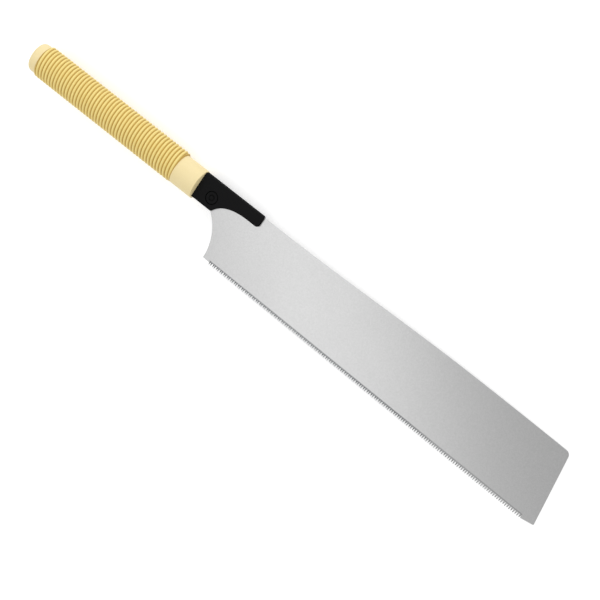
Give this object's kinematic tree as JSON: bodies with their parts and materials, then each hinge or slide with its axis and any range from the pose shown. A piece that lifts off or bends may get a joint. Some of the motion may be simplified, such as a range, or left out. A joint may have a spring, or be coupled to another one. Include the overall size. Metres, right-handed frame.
{
  "type": "kataba saw",
  "caption": "Single-edged pull saw: thin toothed blade held along its back in a black holder with a push-button release, on an oval ribbed straw-coloured grip with cream ends.",
  "frame": {"origin": "centre of the butt's flat end, on the handle's axis and in the blade's middle plane", "axes": "+X along the handle from butt to toe, +Y towards the blade's back, +Z out of the face that carries the button"},
  "size_m": [0.5228, 0.0615, 0.0234],
  "materials": {
    "blade_steel": "satin",
    "black_nylon": "matte",
    "cream_abs": "satin",
    "straw_abs": "satin",
    "pin_steel": "satin"
  },
  "bodies": {
    "handle": {"holder": "black_nylon", "lock_cover": "black_nylon", "lock_spring": "pin_steel", "collar": "cream_abs", "core_near_half": "cream_abs", "core_far_half": "cream_abs", "cross_pins": "pin_steel", "grip_sleeve": "straw_abs", "butt_cap": "cream_abs"},
    "blade": {"blade": "blade_steel"},
    "button": {"release_button": "black_nylon", "lock_pin": "pin_steel"}
  },
  "joints": [
    {"name": "blade_slide", "type": "slide", "parent": "handle", "child": "blade", "axis": [1, 0, 0], "range_m": [0, 0.054]},
    {"name": "button_press", "type": "slide", "parent": "handle", "child": "button", "axis": [0, 0, -1], "range_m": [0, 0.0009], "stiffness_N_per_m": 1500, "springref_m": -0.001, "deforming": ["lock_spring"]}
  ]
}
